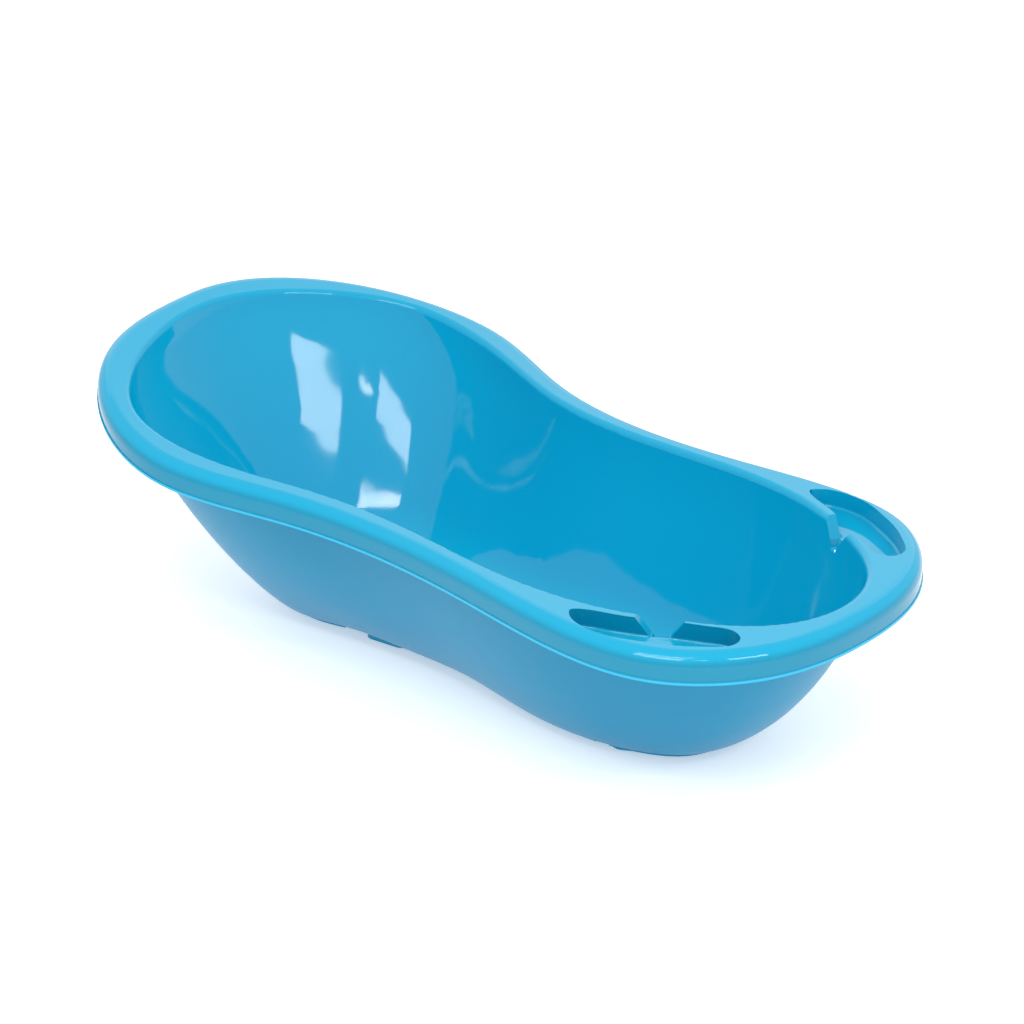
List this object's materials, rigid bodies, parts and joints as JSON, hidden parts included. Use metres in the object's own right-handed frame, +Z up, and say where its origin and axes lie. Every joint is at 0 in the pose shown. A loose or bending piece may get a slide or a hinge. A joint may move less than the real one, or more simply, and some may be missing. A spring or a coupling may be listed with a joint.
{
  "type": "baby bathtub",
  "caption": "Waisted baby bathtub with a high head end, turned-down rim, soap dishes with overflow notches, non-slip pads under its stand rib and a floor drain with a lift-out plug.",
  "frame": {"origin": "centre of the bounding box on the ground plane, at the soles of the foot pads", "axes": "+X towards the low foot end with the soap dishes, +Z up, Y across the symmetric width"},
  "size_m": [0.8397, 0.4628, 0.2617],
  "materials": {
    "tub_plastic": "glossy injection-moulded polypropylene, satin on the underside",
    "pad_rubber": "matte soft rubber",
    "drain_plastic": "satin moulded plastic",
    "seal_rubber": "matte rubber",
    "plug_rubber": "soft satin rubber"
  },
  "bodies": {
    "tub": {"tub_shell": "tub_plastic", "foot_pad_head_left": "pad_rubber", "foot_pad_head_right": "pad_rubber", "foot_pad_foot_left": "pad_rubber", "foot_pad_foot_right": "pad_rubber", "drain_body": "drain_plastic", "drain_gasket": "seal_rubber", "drain_locknut": "drain_plastic"},
    "plug": {"drain_plug": "plug_rubber"}
  },
  "joints": [
    {"name": "plug_lift", "type": "slide", "parent": "tub", "child": "plug", "axis": [0, 0, 1], "range_m": [0, 0.28]}
  ]
}
